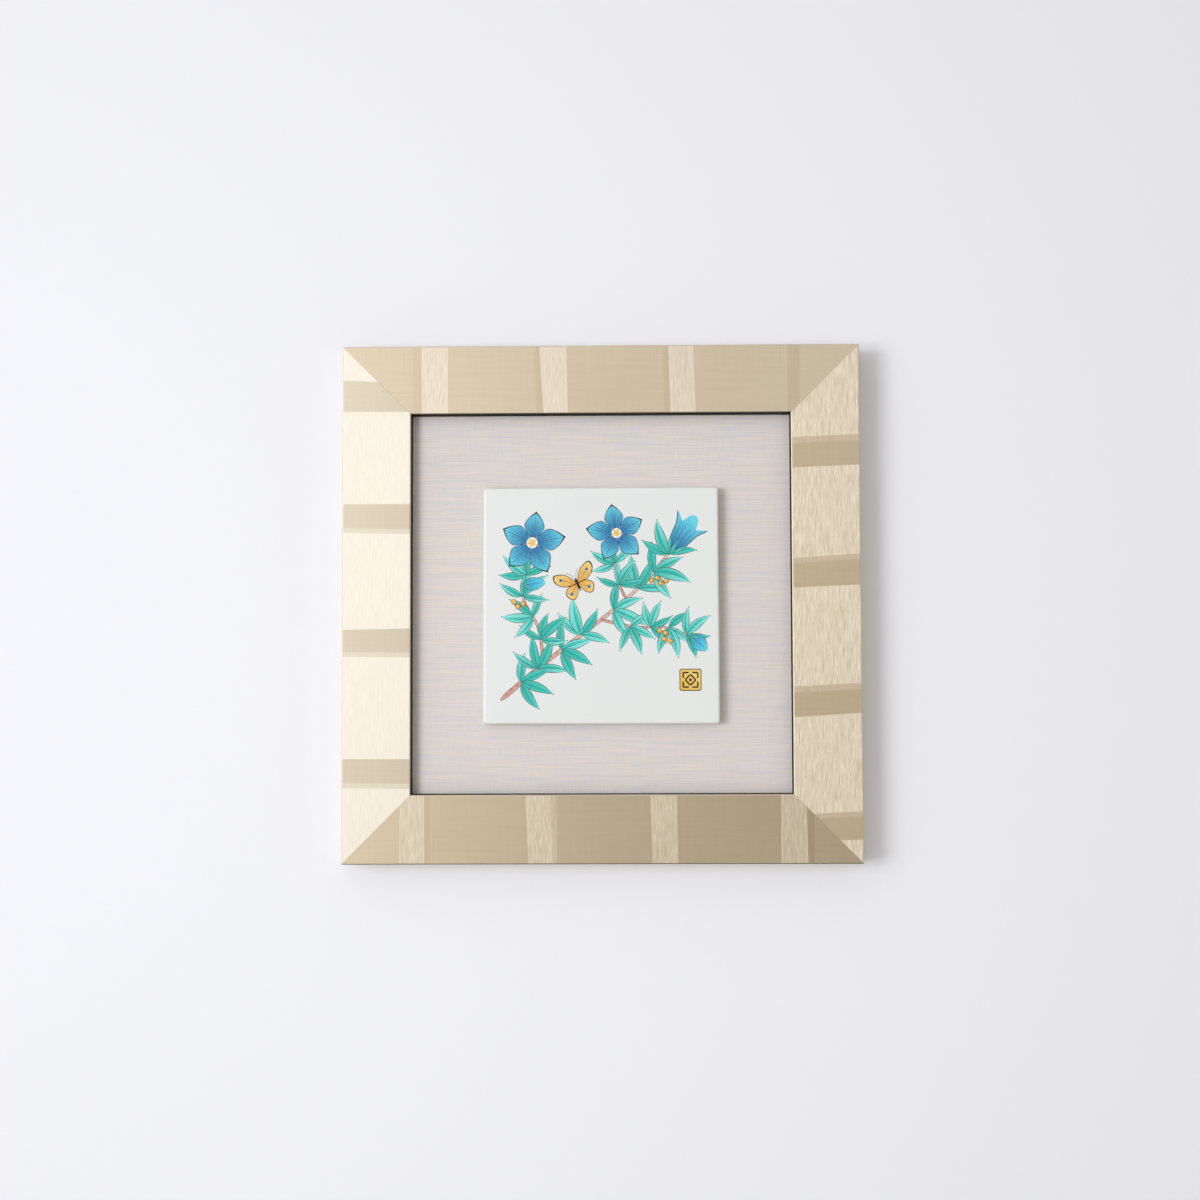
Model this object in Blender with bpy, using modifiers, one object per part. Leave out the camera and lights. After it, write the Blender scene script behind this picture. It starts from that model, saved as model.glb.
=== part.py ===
"""Framed porcelain plaque: a glazed square plaque on a cloth-covered panel in a mitred moulding frame.

The frame hangs on a wall. Its back lies in the plane y = 0, its front faces -Y and +Z is up.
The origin is the hanging point, on the steel keyhole plate let into the back of the top rail.
All lengths are in metres.
"""

import math

import bmesh
import bpy
from mathutils import Matrix, Vector

# Moulding: the foil-covered face, then a dark sight edge that stands a little further in
FRAME_SIDE = 0.330
FACE_WIDTH = 0.0438
SIGHT_EDGE = 0.0004
FRAME_DEPTH = 0.024
LIP_DEPTH = 0.0077
RABBET_WIDTH = 0.007
OUTER_EDGE_RADIUS = 0.0008
INNER_EDGE_RADIUS = 0.0009

# Clearances
MITRE_GAP = 0.0003
SEAT_GAP = 0.0003
PANEL_CLEARANCE = 0.0008
FIT_GAP = 0.0003

# Panels behind the lip
MAT_THICKNESS = 0.003
MAT_EDGE_RADIUS = 0.0005
BOARD_THICKNESS = 0.003

# Porcelain plaque: the firing drew it in a little along its top edge
PLAQUE_SIDE = 0.1508
PLAQUE_NARROWING = 0.0009
PLAQUE_THICKNESS = 0.008
PLAQUE_FRONT_RADIUS = 0.0016
PLAQUE_BACK_RADIUS = 0.0006
PLAQUE_DROP = 0.0015

# Steel tabs that hold the back board
TAB_REACH = 0.010
TAB_WIDTH = 0.008
TAB_THICKNESS = 0.0006
TAB_IN_RAIL = 0.006
TAB_SPACING = 0.130

# Keyhole in the hanger plate, below the origin
SLOT_WIDTH = 0.005
SLOT_BELOW_ORIGIN = 0.0025
KEYHOLE_DIAMETER = 0.010
KEYHOLE_DROP = 0.007
CAVITY_MARGIN = 0.001
CAVITY_DEPTH = 0.006

# Hanger plate
PLATE_WIDTH = 0.046
PLATE_THICKNESS = 0.0015
PLATE_CORNER_RADIUS = 0.003
PLATE_ABOVE_ORIGIN = 0.0045
PLATE_BELOW_KEYHOLE = 0.0015

# Countersunk screws of the hanger plate
SCREW_INSET = 0.006
SCREW_HEAD_DIAMETER = 0.0062
SCREW_SHANK_DIAMETER = 0.003
SCREW_LENGTH = 0.011
SCREW_HEAD_HEIGHT = 0.0016
SCREW_TIP_LENGTH = 0.002
SCREW_HEAD_LAND = 0.0002
DRIVE_LENGTH = 0.0032
DRIVE_WIDTH = 0.0008
DRIVE_DEPTH = 0.0008

# Fineness of round shapes
ROUND_SIDES = 24
CORNER_SEGMENTS = 4
EDGE_SEGMENTS = 3
WELD_DISTANCE = 1e-6

# Places across the depth, from the front to the back
FRONT_Y = -FRAME_DEPTH
MAT_FRONT_Y = FRONT_Y + LIP_DEPTH + SEAT_GAP
MAT_BACK_Y = MAT_FRONT_Y + MAT_THICKNESS
BOARD_FRONT_Y = MAT_BACK_Y + SEAT_GAP
BOARD_BACK_Y = BOARD_FRONT_Y + BOARD_THICKNESS
TAB_FRONT_Y = BOARD_BACK_Y + SEAT_GAP
PLAQUE_BACK_Y = MAT_FRONT_Y - SEAT_GAP

# Places up and down: the hanger plate sits midway on the back of the top rail
SLOT_CENTRE_Z = -SLOT_BELOW_ORIGIN - SLOT_WIDTH / 2
KEYHOLE_CENTRE_Z = SLOT_CENTRE_Z - KEYHOLE_DROP
KEYHOLE_LOW_Z = KEYHOLE_CENTRE_Z - KEYHOLE_DIAMETER / 2
PLATE_LOW_Z = KEYHOLE_LOW_Z - PLATE_BELOW_KEYHOLE
PLATE_MIDDLE_Z = (PLATE_ABOVE_ORIGIN + PLATE_LOW_Z) / 2
LIP_EDGE = FACE_WIDTH + SIGHT_EDGE
BACK_FACE_WIDTH = LIP_EDGE - RABBET_WIDTH
FRAME_TOP_Z = PLATE_MIDDLE_Z + BACK_FACE_WIDTH / 2
CENTRE = Vector((0, 0, FRAME_TOP_Z - FRAME_SIDE / 2))
RABBET_HALF = FRAME_SIDE / 2 - BACK_FACE_WIDTH
PANEL_HALF = RABBET_HALF - PANEL_CLEARANCE

RAIL_TURNS = {"rail_top": 0, "rail_right": 90, "rail_bottom": 180, "rail_left": 270}

# Each finish: its colour, roughness and metallic value
LOOKS = {
    "foil": ((0.74, 0.66, 0.52), 0.38, 0.8),
    "cloth": ((0.66, 0.60, 0.57), 0.90, 0.0),
    "porcelain": ((0.80, 0.82, 0.81), 0.12, 0.0),
    "hardboard": ((0.30, 0.19, 0.11), 0.75, 0.0),
    "steel": ((0.60, 0.60, 0.61), 0.35, 1.0),
}


def clear_scene():
    for old in list(bpy.data.objects):
        bpy.data.objects.remove(old, do_unlink=True)


def new_collection(name):
    collection = bpy.data.collections.new(name)
    bpy.context.scene.collection.children.link(collection)
    return collection


def new_material(name):
    colour, roughness, metallic = LOOKS[name]
    material = bpy.data.materials.new(name)
    material.use_nodes = True
    shader = material.node_tree.nodes["Principled BSDF"]
    shader.inputs["Base Color"].default_value = (*colour, 1)
    shader.inputs["Roughness"].default_value = roughness
    shader.inputs["Metallic"].default_value = metallic
    material.diffuse_color = (*colour, 1)
    return material


def new_object(name, mesh, collection, material=None):
    thing = bpy.data.objects.new(name, mesh)
    collection.objects.link(thing)
    if material is not None:
        mesh.materials.append(material)
    return thing


def new_cutter(name, mesh, collection):
    cutter = new_object(name, mesh, collection)
    cutter.hide_render = True
    cutter.display_type = "WIRE"
    return cutter


def cut(thing, cutter):
    boolean = thing.modifiers.new("cut_" + cutter.name, "BOOLEAN")
    boolean.operation = "DIFFERENCE"
    boolean.solver = "EXACT"
    boolean.object = cutter


def shade(mesh):
    mesh.shade_smooth()
    mesh.set_sharp_from_angle(angle=math.radians(35))


def box_mesh(name, low, high):
    """A box between two opposite corners."""
    size = [b - a for a, b in zip(low, high)]
    middle = [(a + b) / 2 for a, b in zip(low, high)]
    mesh = bpy.data.meshes.new(name)
    bm = bmesh.new()
    place = Matrix.Translation(middle) @ Matrix.Diagonal((*size, 1))
    bmesh.ops.create_cube(bm, size=1, matrix=place)
    bm.to_mesh(mesh)
    bm.free()
    return mesh


def extruded_mesh(name, outlines, half_length):
    """A solid with a flat outline in its XY plane, run along Z. The outlines after the first are holes."""
    curve = bpy.data.curves.new(name, "CURVE")
    curve.dimensions = "2D"
    curve.fill_mode = "BOTH"
    curve.extrude = half_length
    for outline in outlines:
        spline = curve.splines.new("POLY")
        spline.points.add(len(outline) - 1)
        for point, (x, y) in zip(spline.points, outline):
            point.co = (x, y, 0, 1)
        spline.use_cyclic_u = True
    drawn = bpy.data.objects.new(name, curve)
    bpy.context.scene.collection.objects.link(drawn)
    graph = bpy.context.evaluated_depsgraph_get()
    mesh = bpy.data.meshes.new_from_object(drawn.evaluated_get(graph))
    bpy.data.objects.remove(drawn, do_unlink=True)
    bm = bmesh.new()
    bm.from_mesh(mesh)
    bmesh.ops.remove_doubles(bm, verts=bm.verts, dist=WELD_DISTANCE)
    bmesh.ops.recalc_face_normals(bm, faces=bm.faces)
    bm.to_mesh(mesh)
    bm.free()
    return mesh


def profile_mesh(name, profile):
    """A line of (radius, height) points in the XZ plane, for a turned piece."""
    mesh = bpy.data.meshes.new(name)
    points = [(radius, 0, height) for radius, height in profile]
    edges = [(i, i + 1) for i in range(len(points) - 1)]
    mesh.from_pydata(points, edges, [])
    return mesh


def turn(thing):
    """Turns a profile about its own Z axis, and lays that axis along -Y, into the rail."""
    screw = thing.modifiers.new("turned", "SCREW")
    screw.axis = "Z"
    screw.steps = ROUND_SIDES
    screw.render_steps = ROUND_SIDES
    screw.use_merge_vertices = True
    screw.merge_threshold = WELD_DISTANCE
    thing.rotation_euler = (math.radians(90), 0, 0)


def arc(centre, radius, start, end, steps):
    """Points on an arc, from the angle start to the angle end, in degrees."""
    angles = [math.radians(start + (end - start) * i / steps) for i in range(steps + 1)]
    return [(centre[0] + radius * math.cos(a), centre[1] + radius * math.sin(a)) for a in angles]


def rounded_rectangle(low, high, radius):
    corners = [
        ((high[0] - radius, high[1] - radius), 0),
        ((low[0] + radius, high[1] - radius), 90),
        ((low[0] + radius, low[1] + radius), 180),
        ((high[0] - radius, low[1] + radius), 270),
    ]
    outline = []
    for centre, start in corners:
        outline += arc(centre, radius, start, start + 90, CORNER_SEGMENTS)
    return outline


def keyhole_outline():
    """A narrow slot that rises from a round hole; a nail's head passes only the hole."""
    slot_radius = SLOT_WIDTH / 2
    hole_radius = KEYHOLE_DIAMETER / 2
    mouth = math.degrees(math.asin(slot_radius / hole_radius))
    top = arc((0, SLOT_CENTRE_Z), slot_radius, 0, 180, ROUND_SIDES // 2)
    bottom = arc((0, KEYHOLE_CENTRE_Z), hole_radius, 90 + mouth, 450 - mouth, ROUND_SIDES)
    return top + bottom


def moulding_section():
    """The moulding's section: (depth behind the front face, distance in from the outer edge)."""
    outer_round = arc((OUTER_EDGE_RADIUS, OUTER_EDGE_RADIUS), OUTER_EDGE_RADIUS, 270, 180, EDGE_SEGMENTS)
    inner_centre = (INNER_EDGE_RADIUS, FACE_WIDTH - INNER_EDGE_RADIUS)
    inner_round = arc(inner_centre, INNER_EDGE_RADIUS, 180, 90, EDGE_SEGMENTS)
    back = [
        (INNER_EDGE_RADIUS, LIP_EDGE),
        (LIP_DEPTH, LIP_EDGE),
        (LIP_DEPTH, BACK_FACE_WIDTH),
        (FRAME_DEPTH, BACK_FACE_WIDTH),
        (FRAME_DEPTH, 0),
    ]
    return outer_round + inner_round + back


def rail_mesh():
    """The top rail about the frame's centre: the section run along X, and both ends mitred."""
    mesh = extruded_mesh("rail", [moulding_section()], FRAME_SIDE / 2)
    along_x = Matrix(((0, 0, 1, 0), (1, 0, 0, FRONT_Y), (0, -1, 0, FRAME_SIDE / 2), (0, 0, 0, 1)))
    bm = bmesh.new()
    bm.from_mesh(mesh)
    bmesh.ops.transform(bm, matrix=along_x, verts=bm.verts)
    for side in (-1, 1):
        outward = Vector((side, 0, -1)).normalized()
        geometry = bm.verts[:] + bm.edges[:] + bm.faces[:]
        bmesh.ops.bisect_plane(
            bm,
            geom=geometry,
            dist=WELD_DISTANCE,
            plane_co=-outward * MITRE_GAP / 2,
            plane_no=outward,
            clear_outer=True,
        )
        open_edges = [edge for edge in bm.edges if edge.is_boundary]
        bmesh.ops.holes_fill(bm, edges=open_edges, sides=0)
    bmesh.ops.recalc_face_normals(bm, faces=bm.faces)
    bm.to_mesh(mesh)
    bm.free()
    shade(mesh)
    return mesh


def tab_mesh(name, grow=0.0):
    """A tab on the top rail, about the frame's centre. It stands in the rail and reaches over the board."""
    half_width = TAB_WIDTH / 2 + grow
    top = RABBET_HALF + TAB_IN_RAIL + grow
    bottom = PANEL_HALF - TAB_REACH
    low = (-half_width, TAB_FRONT_Y - grow, bottom)
    high = (half_width, TAB_FRONT_Y + TAB_THICKNESS + grow, top)
    return box_mesh(name, low, high)


def place_on_frame(thing, degrees, along=0.0):
    """Turns a piece made for the top rail round the frame's centre, after moving it along that rail."""
    turned = Matrix.Rotation(math.radians(degrees), 4, "Y")
    thing.matrix_world = Matrix.Translation(CENTRE) @ turned @ Matrix.Translation((along, 0, 0))


def make_frame(parts, cutters, foil, steel):
    """Four mitred rails, and the tabs that stand in slots in their rabbets. Returns the rails by name."""
    rails = {}
    slot_shape = tab_mesh("tab_slot", FIT_GAP)
    tab_shape = tab_mesh("tab")
    tab_shape.materials.append(steel)
    count = 0
    for name, degrees in RAIL_TURNS.items():
        rail = new_object(name, rail_mesh(), parts, foil)
        place_on_frame(rail, degrees)
        rails[name] = rail
        for side in (-1, 1):
            count += 1
            slot = new_cutter(f"tab_slot_{count}", slot_shape, cutters)
            place_on_frame(slot, degrees, side * TAB_SPACING / 2)
            cut(rail, slot)
            tab = new_object(f"backing_tab_{count}", tab_shape, parts)
            place_on_frame(tab, degrees, side * TAB_SPACING / 2)
    return rails


def make_panel(name, front_y, back_y, parts, material):
    """A square sheet that fills the rabbet, less its clearance."""
    low = (-PANEL_HALF, front_y, -PANEL_HALF)
    high = (PANEL_HALF, back_y, PANEL_HALF)
    panel = new_object(name, box_mesh(name, low, high), parts, material)
    panel.location = CENTRE
    return panel


def make_mat_panel(parts, material):
    """The cloth is drawn round the panel's edges, which rounds them."""
    panel = make_panel("mat_panel", MAT_FRONT_Y, MAT_BACK_Y, parts, material)
    bevel = panel.modifiers.new("rounded_edges", "BEVEL")
    bevel.width = MAT_EDGE_RADIUS
    bevel.segments = EDGE_SEGMENTS


def lies_at(edge, y):
    return all(abs(vert.co.y - y) < WELD_DISTANCE for vert in edge.verts)


def round_edges(bm, edges, radius):
    bmesh.ops.bevel(bm, geom=edges, offset=radius, segments=CORNER_SEGMENTS, profile=0.5, affect="EDGES")


def make_plaque(parts, material):
    """A slab with its front edges and its corners rounded alike, and its back edges eased."""
    half = PLAQUE_SIDE / 2
    front_y = PLAQUE_BACK_Y - PLAQUE_THICKNESS
    mesh = box_mesh("plaque", (-half, front_y, -half), (half, PLAQUE_BACK_Y, half))
    bm = bmesh.new()
    bm.from_mesh(mesh)
    for vert in bm.verts:
        if vert.co.z > 0:
            vert.co.x -= math.copysign(PLAQUE_NARROWING / 2, vert.co.x)
    round_edges(bm, [edge for edge in bm.edges if not lies_at(edge, PLAQUE_BACK_Y)], PLAQUE_FRONT_RADIUS)
    round_edges(bm, [edge for edge in bm.edges if lies_at(edge, PLAQUE_BACK_Y)], PLAQUE_BACK_RADIUS)
    bm.to_mesh(mesh)
    bm.free()
    shade(mesh)
    plaque = new_object("plaque", mesh, parts, material)
    plaque.location = CENTRE - Vector((0, 0, PLAQUE_DROP))


def screw_profile(grow=0.0):
    """(radius, depth) from the tip in the rail to the head, flush with the plate. grow gives the hole."""
    shank = SCREW_SHANK_DIAMETER / 2 + grow
    head = SCREW_HEAD_DIAMETER / 2 + grow
    return [
        (0, SCREW_LENGTH + grow),
        (shank, SCREW_LENGTH + grow - SCREW_TIP_LENGTH),
        (shank, SCREW_HEAD_HEIGHT + grow),
        (head, SCREW_HEAD_LAND),
        (head, -grow),
        (0, -grow),
    ]


def cut_cross(screw, where, name, cutters):
    """The cross recess in a screw's head, as two slots."""
    arms = {"across": (DRIVE_LENGTH, DRIVE_WIDTH), "upright": (DRIVE_WIDTH, DRIVE_LENGTH)}
    for arm, (wide, tall) in arms.items():
        low = (-wide / 2, -DRIVE_DEPTH, -tall / 2)
        high = (wide / 2, DRIVE_DEPTH, tall / 2)
        slot = new_cutter(f"cross_{arm}_{name}", box_mesh("cross_" + arm, low, high), cutters)
        slot.location = where
        cut(screw, slot)


def make_hanger(parts, cutters, steel, rail):
    """The keyhole plate let in flush with the rail's back, and the cavity for a nail's head behind it."""
    upright = Matrix.Rotation(math.radians(90), 4, "X")
    low = (-PLATE_WIDTH / 2, PLATE_LOW_Z)
    high = (PLATE_WIDTH / 2, PLATE_ABOVE_ORIGIN)
    outline = rounded_rectangle(low, high, PLATE_CORNER_RADIUS)
    mesh = extruded_mesh("hanger_plate", [outline, keyhole_outline()], PLATE_THICKNESS / 2)
    mesh.transform(upright @ Matrix.Translation((0, 0, PLATE_THICKNESS / 2)))
    plate = new_object("hanger_plate", mesh, parts, steel)

    pocket_depth = PLATE_THICKNESS + FIT_GAP
    seat_low = [value - FIT_GAP for value in low]
    seat_high = [value + FIT_GAP for value in high]
    seat = rounded_rectangle(seat_low, seat_high, PLATE_CORNER_RADIUS + FIT_GAP)
    pocket_shape = extruded_mesh("plate_pocket", [seat], pocket_depth)
    pocket_shape.transform(upright)
    cut(rail, new_cutter("plate_pocket", pocket_shape, cutters))

    cavity_half = KEYHOLE_DIAMETER / 2 + CAVITY_MARGIN
    cavity_low = (-cavity_half, -pocket_depth - CAVITY_DEPTH, KEYHOLE_LOW_Z - CAVITY_MARGIN)
    cavity_high = (cavity_half, pocket_depth, -SLOT_BELOW_ORIGIN + CAVITY_MARGIN)
    cut(rail, new_cutter("nail_cavity", box_mesh("nail_cavity", cavity_low, cavity_high), cutters))

    hole_shape = profile_mesh("screw_hole", screw_profile(FIT_GAP))
    screw_shape = profile_mesh("hanger_screw", screw_profile())
    screw_shape.materials.append(steel)
    for name, side in (("left", -1), ("right", 1)):
        where = (side * (PLATE_WIDTH / 2 - SCREW_INSET), 0, PLATE_MIDDLE_Z)
        hole = new_cutter("screw_hole_" + name, hole_shape, cutters)
        hole.location = where
        turn(hole)
        cut(plate, hole)
        cut(rail, hole)
        screw = new_object("hanger_screw_" + name, screw_shape, parts)
        screw.location = where
        turn(screw)
        cut_cross(screw, where, name, cutters)


def main():
    clear_scene()
    parts = new_collection("framed_plaque")
    cutters = new_collection("cutters")
    looks = {name: new_material(name) for name in LOOKS}
    rails = make_frame(parts, cutters, looks["foil"], looks["steel"])
    make_mat_panel(parts, looks["cloth"])
    make_panel("back_board", BOARD_FRONT_Y, BOARD_BACK_Y, parts, looks["hardboard"])
    make_plaque(parts, looks["porcelain"])
    make_hanger(parts, cutters, looks["steel"], rails["rail_top"])


main()
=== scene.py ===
"""The looks of the framed porcelain plaque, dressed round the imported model.

The four foil-covered rails and the painted plaque are new pieces. The cloth panel, the back board,
its tabs and the hanger keep their solids and get their finishes here.
"""

import math
import random

import bmesh
import bpy
from mathutils import Matrix, Vector, noise
from mathutils.geometry import delaunay_2d_cdt


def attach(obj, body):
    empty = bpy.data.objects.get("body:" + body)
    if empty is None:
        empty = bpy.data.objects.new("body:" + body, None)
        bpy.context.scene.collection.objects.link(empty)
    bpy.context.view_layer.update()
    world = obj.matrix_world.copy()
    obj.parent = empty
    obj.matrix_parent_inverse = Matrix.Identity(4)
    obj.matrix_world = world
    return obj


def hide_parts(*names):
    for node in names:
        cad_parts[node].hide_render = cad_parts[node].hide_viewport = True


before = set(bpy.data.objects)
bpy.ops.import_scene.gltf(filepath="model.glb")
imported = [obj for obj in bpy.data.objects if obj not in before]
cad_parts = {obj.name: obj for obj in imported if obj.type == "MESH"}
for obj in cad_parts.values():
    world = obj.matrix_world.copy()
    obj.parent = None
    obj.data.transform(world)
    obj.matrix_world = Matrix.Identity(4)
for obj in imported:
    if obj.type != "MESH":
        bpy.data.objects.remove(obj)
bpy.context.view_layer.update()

# Sizes in metres, as they are in the solids.
FRAME_SIDE = 0.330
FACE_WIDTH = 0.0438
FRAME_DEPTH = 0.024
LIP_DEPTH = 0.0077
MITRE_GAP = 0.0003
MITRE_SHOWN = 0.0001
FRONT_EDGE_DEPTH = 0.001
OUTER_EDGE_RADIUS = 0.0008
INNER_EDGE_RADIUS = 0.0009
CENTRE = Vector((0.0, 0.0, -0.1534))
RAIL_TURNS = {"top": 0, "right": 90, "bottom": 180, "left": 270}
LEVEL_RAILS = ("top", "bottom")
PLAQUE_FRONT_Y = -0.0243
PLAQUE_DROP = 0.0015
TOLERANCE = 0.00001

# The plaque's other sizes, in millimetres.
PLAQUE_SIDE = 150.5
PLAQUE_NARROWING = 0.9
PLAQUE_CORNER = 2.2
PLAQUE_SWELL = 0.12
# How the rim falls away: in from the outline, and back from the front.
RIM = ((1.9, 0.0), (1.35, 0.05), (0.9, 0.17), (0.5, 0.45), (0.2, 0.9), (0.05, 1.5), (0.0, 2.1))
WALL_END = (0.0, 7.4)
BACK_EDGE = (0.6, 8.0)
CORNER_POINTS = 7
SIDE_POINTS = 18

# The camera stands here from the middle of the frame's front, in metres, and turns by these degrees.
CAMERA_OFFSET = Vector((0.0213, -1.2, -0.0607))
CAMERA_YAW = 1.050
CAMERA_PITCH = 2.985
CAMERA_ROLL = -0.191
CAMERA_FOCAL = 1892.2 / 1200 * 36

SEED = 11


def linear(channel):
    """One channel of a colour as a painter's chart gives it, from 0 to 255, as light."""
    share = channel / 255
    return share / 12.92 if share <= 0.04045 else ((share + 0.055) / 1.055) ** 2.4


def tint(red, green, blue):
    return (linear(red), linear(green), linear(blue), 1.0)


class Number:
    """A number that changes over a surface. Sums written with it add Math nodes to its look."""

    def __init__(self, look, socket):
        self.look = look
        self.socket = socket

    def sum(self, operation, *terms):
        return self.look.number("ShaderNodeMath", {"operation": operation}, dict(enumerate(terms)))

    def __add__(self, other):
        return self.sum("ADD", self, other)

    def __sub__(self, other):
        return self.sum("SUBTRACT", self, other)

    def __rsub__(self, other):
        return self.sum("SUBTRACT", other, self)

    def __mul__(self, other):
        return self.sum("MULTIPLY", self, other)

    def __truediv__(self, other):
        return self.sum("DIVIDE", self, other)

    def __abs__(self):
        return self.sum("ABSOLUTE", self)

    def most(self, other):
        return self.sum("MAXIMUM", self, other)

    def rises(self, start, end):
        """0 up to start, 1 from end, and a soft step between."""
        settings = {"interpolation_type": "SMOOTHSTEP"}
        return self.look.number("ShaderNodeMapRange", settings, {0: self, 1: start, 2: end})

    __radd__ = __add__
    __rmul__ = __mul__


class Look:
    """A material, or the studio's surroundings, and the nodes that make it."""

    def __init__(self, owner):
        owner.use_nodes = True
        self.owner = owner
        self.tree = owner.node_tree
        self.tree.nodes.clear()

    def node(self, kind, settings, inputs):
        """Any node: its settings first, with a ramp's stops, then the values or links of its sockets."""
        node = self.tree.nodes.new(kind)
        for name, value in settings.items():
            if name == "stops":
                self.set_stops(node.color_ramp, value)
            else:
                setattr(node, name, value)
        for key, value in inputs.items():
            source = value.socket if isinstance(value, Number) else value
            if isinstance(source, bpy.types.NodeSocket):
                self.tree.links.new(source, node.inputs[key])
            else:
                node.inputs[key].default_value = source
        return node

    def set_stops(self, ramp, stops):
        while len(ramp.elements) < len(stops):
            ramp.elements.new(1.0)
        for element, (place, colour) in zip(ramp.elements, stops):
            element.position = place
            element.color = colour

    def number(self, kind, settings, inputs, output=0):
        return Number(self, self.node(kind, settings, inputs).outputs[output])

    def place(self):
        """Where a point lies, in millimetres from the frame's centre."""
        coordinates = self.node("ShaderNodeTexCoord", {}, {}).outputs["Object"]
        parts = self.node("ShaderNodeSeparateXYZ", {}, {0: coordinates}).outputs
        x, y, z = (Number(self, part) * 1000 for part in parts)
        return x, y, z - CENTRE.z * 1000

    def vector(self, x, y, z):
        return self.node("ShaderNodeCombineXYZ", {}, {0: x, 1: y, 2: z}).outputs[0]

    def mottle(self, x, y, z, detail=2.0, roughness=0.5, distortion=0.0):
        """Cloudy noise from 0 to 1. Dividing a coordinate by a length draws the noise out to that length."""
        inputs = {"Vector": self.vector(x, y, z), "Scale": 1.0, "Detail": detail}
        inputs |= {"Roughness": roughness, "Distortion": distortion}
        return self.number("ShaderNodeTexNoise", {}, inputs)

    def blend(self, share, first, second, way="MIX"):
        """A colour between two."""
        settings = {"data_type": "RGBA", "blend_type": way, "clamp_factor": True}
        return self.node("ShaderNodeMix", settings, {0: share, 6: first, 7: second}).outputs[2]

    def relief(self, height, distance, strength=1.0):
        """A normal for fine relief, this many metres deep."""
        inputs = {"Height": height, "Distance": distance, "Strength": strength}
        return self.node("ShaderNodeBump", {}, inputs).outputs[0]

    def surface(self, **inputs):
        """The shader of a solid surface, with its sockets' names written as plain arguments."""
        sockets = {}
        for name, value in inputs.items():
            sockets[name.replace("_", " ").title().replace("Ior", "IOR")] = value
        return self.node("ShaderNodeBsdfPrincipled", {}, sockets).outputs[0]

    def finish(self, shader):
        kind = "World" if isinstance(self.owner, bpy.types.World) else "Material"
        self.node(f"ShaderNodeOutput{kind}", {}, {"Surface": shader})
        return self.owner


def new_look(name):
    return Look(bpy.data.materials.new(name))


def collection_object(name, mesh):
    thing = bpy.data.objects.new(name, mesh)
    bpy.context.scene.collection.objects.link(thing)
    return thing


# Foil

HALF_SIDE = FRAME_SIDE * 500
FACE = FACE_WIDTH * 1000

# The foil is brushed level on the top and the bottom rail and upright on the others, and the other way
# in bands. A band gives where it starts and ends along the rail in millimetres from the frame's centre,
# each at the outer and at the inner edge, and how fully it is brushed. A minus marks a strip that is only
# pressed a little darker.
BANDS = {
    "top": (
        (-119.6, -120.6, -114.5, -114.0, -0.8),
        (-114.5, -114.0, -97.7, -97.7, 1.0),
        (-42.5, -41.0, -38.9, -36.3, -0.6),
        (-38.9, -36.3, -21.8, -20.9, 1.0),
        (40.0, 40.6, 43.6, 44.8, -0.5),
        (43.6, 44.8, 59.1, 60.7, 1.0),
        (119.6, 119.0, 127.3, 127.0, -0.5),
    ),
    "bottom": (
        (-128.4, -127.9, -112.3, -112.6, 1.0),
        (-112.3, -112.6, -108.8, -109.0, -0.5),
        (-46.4, -48.2, -31.2, -32.6, 1.0),
        (-31.2, -32.6, -28.3, -28.8, 0.5),
        (32.1, 30.7, 48.0, 47.3, 1.0),
        (113.0, 113.2, 130.0, 129.0, 1.0),
        (130.0, 129.0, 133.8, 133.9, -1.0),
    ),
    "left": (
        (123.1, 122.9, 143.3, 141.6, 1.0),
        (48.3, 47.5, 63.7, 63.7, 1.0),
        (45.0, 44.2, 48.3, 47.5, 0.6),
        (-30.7, -31.3, -16.4, -15.7, 1.0),
        (-33.9, -34.5, -30.7, -31.3, 0.6),
        (-113.7, -114.2, -98.5, -98.5, 1.0),
        (-117.2, -117.7, -113.7, -114.2, 0.6),
    ),
    "right": (
        (103.4, 101.6, 107.4, 105.6, 0.72),
        (87.5, 85.8, 103.4, 101.6, 1.0),
        (27.8, 24.9, 31.2, 28.3, 0.72),
        (11.1, 9.2, 27.8, 24.9, 1.0),
        (-54.7, -56.9, -50.9, -53.1, 0.72),
        (-70.0, -72.9, -54.7, -56.9, 1.0),
        (-135.2, -136.8, -131.7, -133.8, 0.72),
        (-149.7, -151.3, -135.2, -136.8, 1.0),
    ),
}
EDGE_SOFTNESS = 0.25
# How far a band's end frays along the upright grain, on level and on upright rails.
LEVEL_FRAY = 0.2
UPRIGHT_FRAY = 2.0
# A light line, this far in from the edge of a band and this wide to each side.
BEAD_INSET = 0.4
BEAD_WIDTHS = (0.15, 0.45)
# Each rail's foil: its colour brushed upright, its colour brushed level, how plain its upright grain is,
# and by what share each colour pales along the rail, to the right or to the top. The colours are partly
# painted light: they are set rail by rail so that the left rail, nearest the side light, is lighter and the
# bottom rail darker, and the paling along a rail is painted light set against the side light's falloff.
FOIL_TONES_WITH_PAINTED_LIGHT = {
    "top": ((0.735, 0.643, 0.515), (0.775, 0.65, 0.47), 0.8, -0.05, 0.13),
    "right": ((0.785, 0.68, 0.525), (0.75, 0.61, 0.415), 1.35, 0.0, 0.05),
    "bottom": ((0.655, 0.56, 0.415), (0.615, 0.505, 0.34), 1.25, -0.07, -0.04),
    "left": ((0.84, 0.78, 0.66), (0.65, 0.56, 0.42), 0.35, 0.0, 0.05),
}
SIDE_FOIL = (0.76, 0.68, 0.55)
# A dark brown painted as shade on the foil's edges that turn down, where they would mirror the darker room
# below.
DOWN_EDGE_PAINTED_SHADE = (0.09, 0.065, 0.04)


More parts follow.
